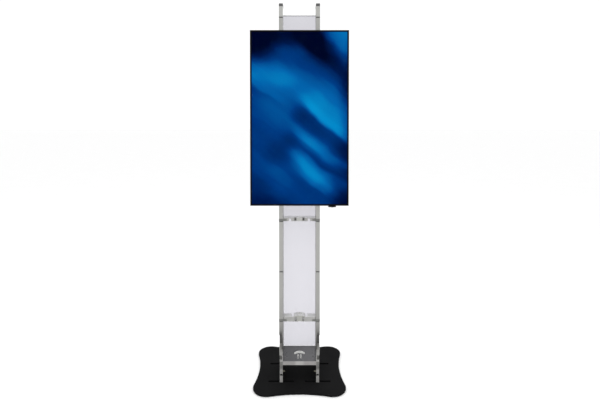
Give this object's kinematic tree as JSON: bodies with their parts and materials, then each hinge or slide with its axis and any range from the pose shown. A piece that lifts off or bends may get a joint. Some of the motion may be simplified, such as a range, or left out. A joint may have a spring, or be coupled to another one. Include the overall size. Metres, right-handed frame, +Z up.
{
  "type": "touchscreen kiosk",
  "caption": "Free-standing kiosk: portrait touch display carried on a slim twin-upright column over a four-lobed black floor plate.",
  "frame": {"origin": "on the floor, under the middle of the base plate", "axes": "+Z up, the display faces -Y, +X to the right of a person facing the display"},
  "size_m": [0.5596, 0.518, 2.181],
  "materials": {
    "base_steel": "near-black satin powder coat",
    "rubber": "matt black",
    "gasket_rubber": "matt black",
    "acrylic": "clear polished acrylic with frosted edges",
    "smoked_acrylic": "smoked grey, polished top and paler cut edges",
    "frosted_acrylic": "clear with a light haze",
    "mount_steel": "dark grey powder coat",
    "tray_steel": "zinc-plated",
    "guide_plastic": "black nylon",
    "bezel_black": "black satin",
    "cover_glass": "clear polished touch glass",
    "screen": "lit screen with an abstract blue picture",
    "cover_plastic": "black textured",
    "switch_plastic": "black satin",
    "circuit_board": "green solder mask",
    "bolt_steel": "bright zinc",
    "cap_plastic": "dark grey satin",
    "knob_plastic": "black satin",
    "upright_aluminium": "satin clear anodised",
    "foot_aluminium": "satin clear anodised"
  },
  "bodies": {
    "stand": {"base_underlay": "rubber", "base_plate": "base_steel", "foot_shoe_r": "foot_aluminium", "foot_shoe_l": "foot_aluminium", "foot_gasket_r": "gasket_rubber", "foot_gasket_l": "gasket_rubber", "base_bolt_front_r": "bolt_steel", "base_bolt_front_l": "bolt_steel", "base_bolt_rear_r": "bolt_steel", "base_bolt_rear_l": "bolt_steel", "foot_clamp_r": "foot_aluminium", "foot_clamp_l": "foot_aluminium", "foot_cross_bolt_r": "bolt_steel", "foot_cross_bolt_l": "bolt_steel", "foot_blade_r": "foot_aluminium", "foot_blade_l": "foot_aluminium", "pocket_bolt_r": "bolt_steel", "pocket_bolt_l": "bolt_steel", "upright_lower_r": "upright_aluminium", "upright_lower_l": "upright_aluminium", "upright_upper_r": "upright_aluminium", "upright_upper_l": "upright_aluminium", "splice_joiner_r": "mount_steel", "splice_joiner_l": "mount_steel", "upright_head_r": "upright_aluminium", "upright_head_l": "upright_aluminium", "end_cap_r": "cap_plastic", "end_cap_l": "cap_plastic", "deck_plate": "smoked_acrylic", "cross_plate_1": "acrylic", "cross_plate_2": "acrylic", "cross_plate_3": "acrylic", "cross_plate_4": "acrylic", "back_panel_lower": "frosted_acrylic", "back_panel_upper": "frosted_acrylic", "panel_top_rail": "acrylic"},
    "carriage": {"carriage_plate": "mount_steel", "carriage_guide_l": "guide_plastic", "carriage_guide_r": "guide_plastic", "tilt_yoke": "mount_steel"},
    "display": {"vesa_plate": "mount_steel", "bezel": "bezel_black", "touch_glass": "cover_glass", "lcd_panel": "screen", "backlight_tray": "tray_steel", "rear_cover": "cover_plastic", "connector_bay": "cover_plastic", "mains_inlet": "cover_plastic", "main_board": "circuit_board", "power_board": "circuit_board", "speaker_bar": "cover_plastic", "sensor_module": "bezel_black"},
    "clamp_knob_left": {"clamp_knob_l": "knob_plastic"},
    "clamp_knob_right": {"clamp_knob_r": "knob_plastic"},
    "tilt_knob_left": {"tilt_knob_l": "knob_plastic"},
    "tilt_knob_right": {"tilt_knob_r": "knob_plastic"},
    "power_rocker": {"rocker_switch": "switch_plastic"},
    "control_button": {"control_button": "bezel_black"}
  },
  "joints": [
    {"name": "height_slide", "type": "slide", "parent": "stand", "child": "carriage", "axis": [0, 0, 1], "range_m": [-0.15, 0.1]},
    {"name": "display_tilt", "type": "hinge", "parent": "carriage", "child": "display", "pos_m": [0, -0.04, 1.513], "axis": [1, 0, 0], "range_deg": [-4, 4]},
    {"name": "clamp_knob_left_turn", "type": "hinge", "parent": "carriage", "child": "clamp_knob_left", "pos_m": [-0.05, 0.006, 1.513], "axis": [-1, 0, 0], "range_deg": [-180, 90]},
    {"name": "clamp_knob_right_turn", "type": "hinge", "parent": "carriage", "child": "clamp_knob_right", "pos_m": [0.05, 0.006, 1.513], "axis": [1, 0, 0], "range_deg": [-90, 180]},
    {"name": "tilt_knob_left_turn", "type": "hinge", "parent": "carriage", "child": "tilt_knob_left", "pos_m": [-0.075, -0.04, 1.513], "axis": [-1, 0, 0], "range_deg": [-180, 90]},
    {"name": "tilt_knob_right_turn", "type": "hinge", "parent": "carriage", "child": "tilt_knob_right", "pos_m": [0.075, -0.04, 1.513], "axis": [1, 0, 0], "range_deg": [-90, 180]},
    {"name": "power_rocker_flip", "type": "hinge", "parent": "display", "child": "power_rocker", "pos_m": [-0.165, -0.069, 1.139], "axis": [0, 1, 0], "range_deg": [0, 16]},
    {"name": "control_button_press", "type": "slide", "parent": "display", "child": "control_button", "axis": [0, 0, 1], "range_m": [0, 0.0015], "stiffness_N_per_m": 800}
  ]
}
